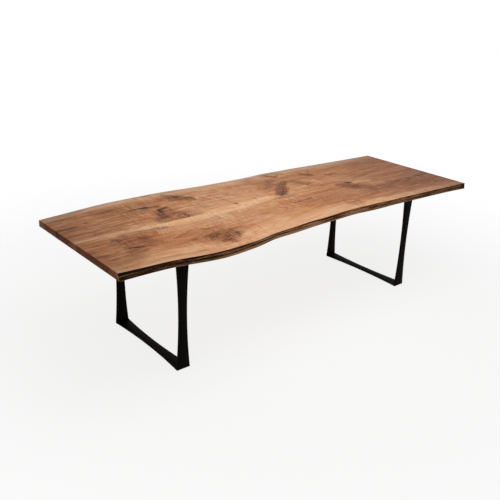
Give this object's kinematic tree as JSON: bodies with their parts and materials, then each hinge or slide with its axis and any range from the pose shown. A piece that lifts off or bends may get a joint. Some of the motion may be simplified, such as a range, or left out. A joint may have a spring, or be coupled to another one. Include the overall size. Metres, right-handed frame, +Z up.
{
  "type": "dining table",
  "caption": "Long dining table: live-edge walnut planks, edge-glued, on black flat-steel frames whose legs and floor bars narrow to a waist.",
  "frame": {"origin": "on the floor, under the middle of the table's bounding box", "axes": "+X along the planks, to the right as seen from the front long edge; +Y across the planks towards the rear; +Z up"},
  "size_m": [2.8, 1.0611, 0.75],
  "materials": {
    "walnut": "oiled, satin",
    "beech": "bare, planed",
    "powder_coat": "matt black powder coat",
    "channel_steel": "black paint, satin",
    "zinc_plated_steel": "bright zinc plate",
    "nylon": "moulded, matt"
  },
  "bodies": {
    "root": {"front_plank": "walnut", "rear_plank": "walnut", "joint_tenons": "beech", "left_channel": "channel_steel", "right_channel": "channel_steel", "channel_screws": "zinc_plated_steel", "channel_inserts": "zinc_plated_steel", "left_frame_front_leg": "powder_coat", "left_frame_rear_leg": "powder_coat", "left_frame_floor_bar": "powder_coat", "left_frame_top_bar": "powder_coat", "left_frame_bolts": "zinc_plated_steel", "left_frame_washers": "zinc_plated_steel", "left_frame_inserts": "zinc_plated_steel", "left_frame_front_glide": "nylon", "left_frame_rear_glide": "nylon", "right_frame_front_leg": "powder_coat", "right_frame_rear_leg": "powder_coat", "right_frame_floor_bar": "powder_coat", "right_frame_top_bar": "powder_coat", "right_frame_bolts": "zinc_plated_steel", "right_frame_washers": "zinc_plated_steel", "right_frame_inserts": "zinc_plated_steel", "right_frame_front_glide": "nylon", "right_frame_rear_glide": "nylon"}
  },
  "joints": []
}
